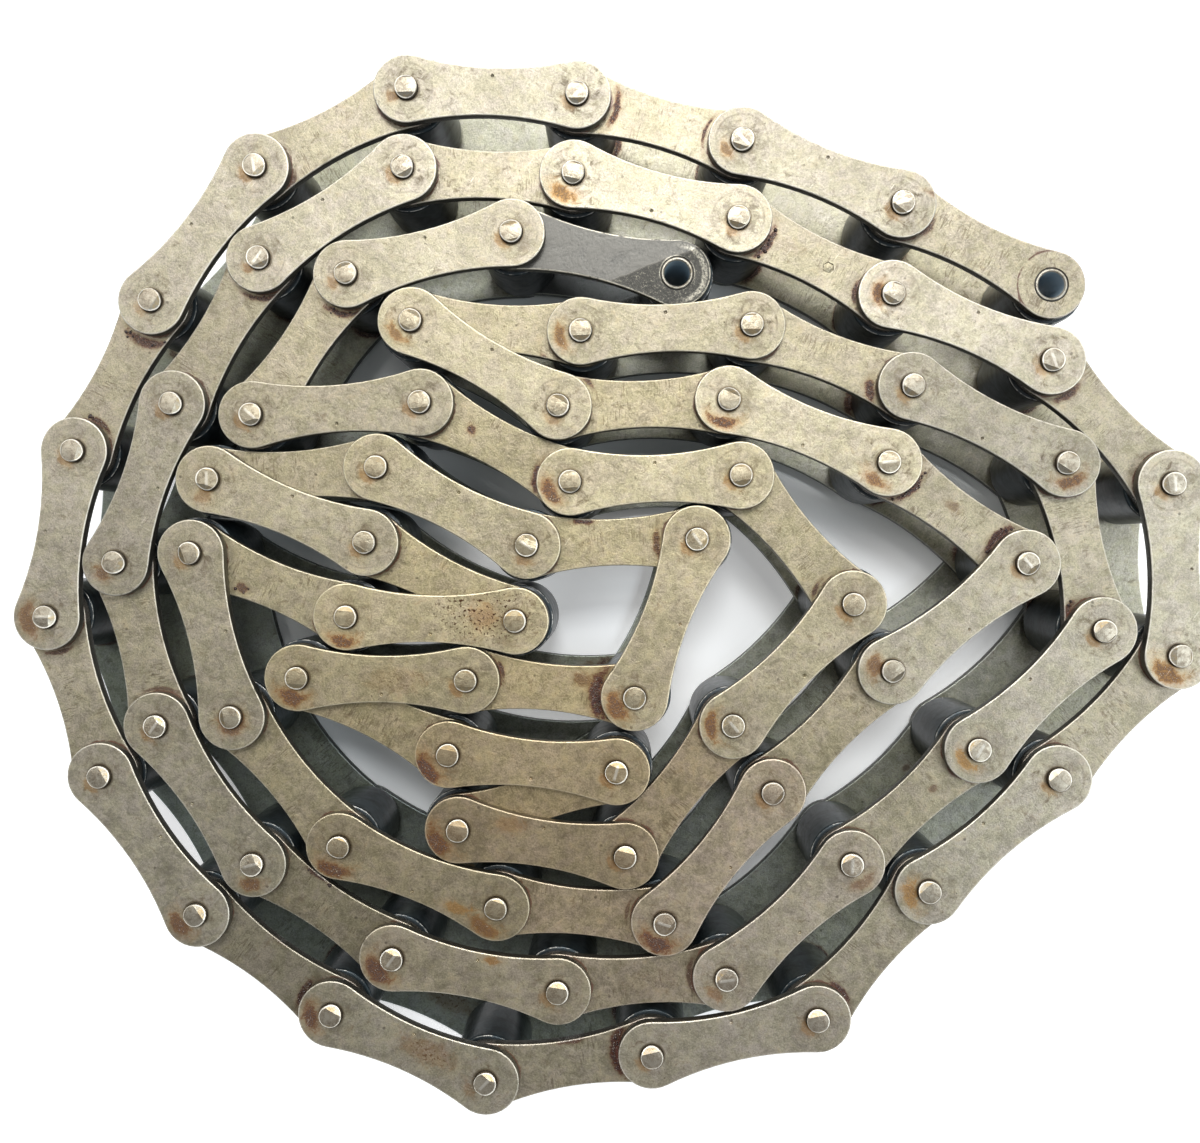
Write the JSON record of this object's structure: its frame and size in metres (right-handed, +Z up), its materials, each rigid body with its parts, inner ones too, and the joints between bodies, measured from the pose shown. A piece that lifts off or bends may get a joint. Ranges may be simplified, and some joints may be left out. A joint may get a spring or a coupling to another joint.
{
  "type": "roller chain coil",
  "caption": "Length of wide agricultural roller chain with waisted plates, wound flat into an oval coil, both ends free with open bushings.",
  "frame": {"origin": "middle of the coil's plan outline, at the level of the lower pin ends that it rests on", "axes": "+X along the coil's longer side, +Y across it in plan, +Z up along the pins"},
  "size_m": [0.2976, 0.2638, 0.0406],
  "materials": {
    "plate_steel": "oiled rolled steel, khaki grey with brown mottling and fine scratches",
    "pin_steel": "bright ground steel",
    "roller_steel": "blue-black oily hardened steel",
    "dark_end_steel": "dark worn steel"
  },
  "bodies": {
    "coil": {"inner_end_pin_71": "pin_steel", "inner_end_pin_72": "pin_steel", "inner_end_pin_link_bottom_plate": "plate_steel", "inner_end_pin_link_top_plate": "plate_steel", "last_roller_link": "plate_steel", "link_pair_01": "plate_steel", "link_pair_02": "plate_steel", "link_pair_03": "plate_steel", "link_pair_04": "plate_steel", "link_pair_05": "plate_steel", "link_pair_06": "plate_steel", "link_pair_07": "plate_steel", "link_pair_08": "plate_steel", "link_pair_09": "plate_steel", "link_pair_10": "plate_steel", "link_pair_11": "plate_steel", "link_pair_12": "plate_steel", "link_pair_13": "plate_steel", "link_pair_14": "plate_steel", "link_pair_15": "plate_steel", "link_pair_16": "plate_steel", "link_pair_17": "plate_steel", "link_pair_18": "plate_steel", "link_pair_19": "plate_steel", "link_pair_20": "plate_steel", "link_pair_21": "plate_steel", "link_pair_22": "plate_steel", "link_pair_23": "plate_steel", "link_pair_24": "plate_steel", "link_pair_25": "plate_steel", "link_pair_26": "plate_steel", "link_pair_27": "plate_steel", "link_pair_28": "plate_steel", "link_pair_29": "plate_steel", "link_pair_30": "plate_steel", "link_pair_31": "plate_steel", "link_pair_32": "plate_steel", "link_pair_33": "plate_steel", "link_pair_34": "plate_steel", "outer_end_pin_01": "pin_steel", "outer_end_pin_02": "pin_steel", "outer_end_pin_link_bottom_plate": "plate_steel", "outer_end_pin_link_top_plate": "plate_steel"},
    "outer_end_link": {"outer_end_top_plate": "plate_steel", "outer_end_bottom_plate": "plate_steel", "outer_end_free_bushing": "pin_steel", "outer_end_hinge_bushing": "pin_steel"},
    "outer_end_free_roller_body": {"outer_end_free_roller": "roller_steel"},
    "outer_end_hinge_roller_body": {"outer_end_hinge_roller": "roller_steel"},
    "inner_end_link": {"inner_end_top_plate": "dark_end_steel", "inner_end_bottom_plate": "dark_end_steel", "inner_end_free_bushing": "pin_steel", "inner_end_hinge_bushing": "pin_steel"},
    "inner_end_free_roller_body": {"inner_end_free_roller": "roller_steel"},
    "inner_end_hinge_roller_body": {"inner_end_hinge_roller": "roller_steel"}
  },
  "joints": [
    {"name": "outer_end_hinge", "type": "hinge", "parent": "coil", "child": "outer_end_link", "pos_m": [0.07209, 0.09386, 0.0203], "axis": [0, 0, 1], "range_deg": [0, 155]},
    {"name": "outer_end_free_roller_spin", "type": "hinge", "parent": "outer_end_link", "child": "outer_end_free_roller_body", "pos_m": [0.10933, 0.07465, 0.0203], "axis": [0, 0, 1], "continuous": true},
    {"name": "outer_end_hinge_roller_spin", "type": "hinge", "parent": "outer_end_link", "child": "outer_end_hinge_roller_body", "pos_m": [0.07209, 0.09386, 0.0203], "axis": [0, 0, 1], "continuous": true},
    {"name": "inner_end_hinge", "type": "hinge", "parent": "coil", "child": "inner_end_link", "pos_m": [-0.02336, 0.08747, 0.0203], "axis": [0, 0, 1], "range_deg": [-11, 1]},
    {"name": "inner_end_hinge_roller_spin", "type": "hinge", "parent": "inner_end_link", "child": "inner_end_hinge_roller_body", "pos_m": [-0.02336, 0.08747, 0.0203], "axis": [0, 0, 1], "continuous": true},
    {"name": "inner_end_free_roller_spin", "type": "hinge", "parent": "inner_end_link", "child": "inner_end_free_roller_body", "pos_m": [0.01746, 0.07798, 0.0203], "axis": [0, 0, 1], "continuous": true}
  ]
}
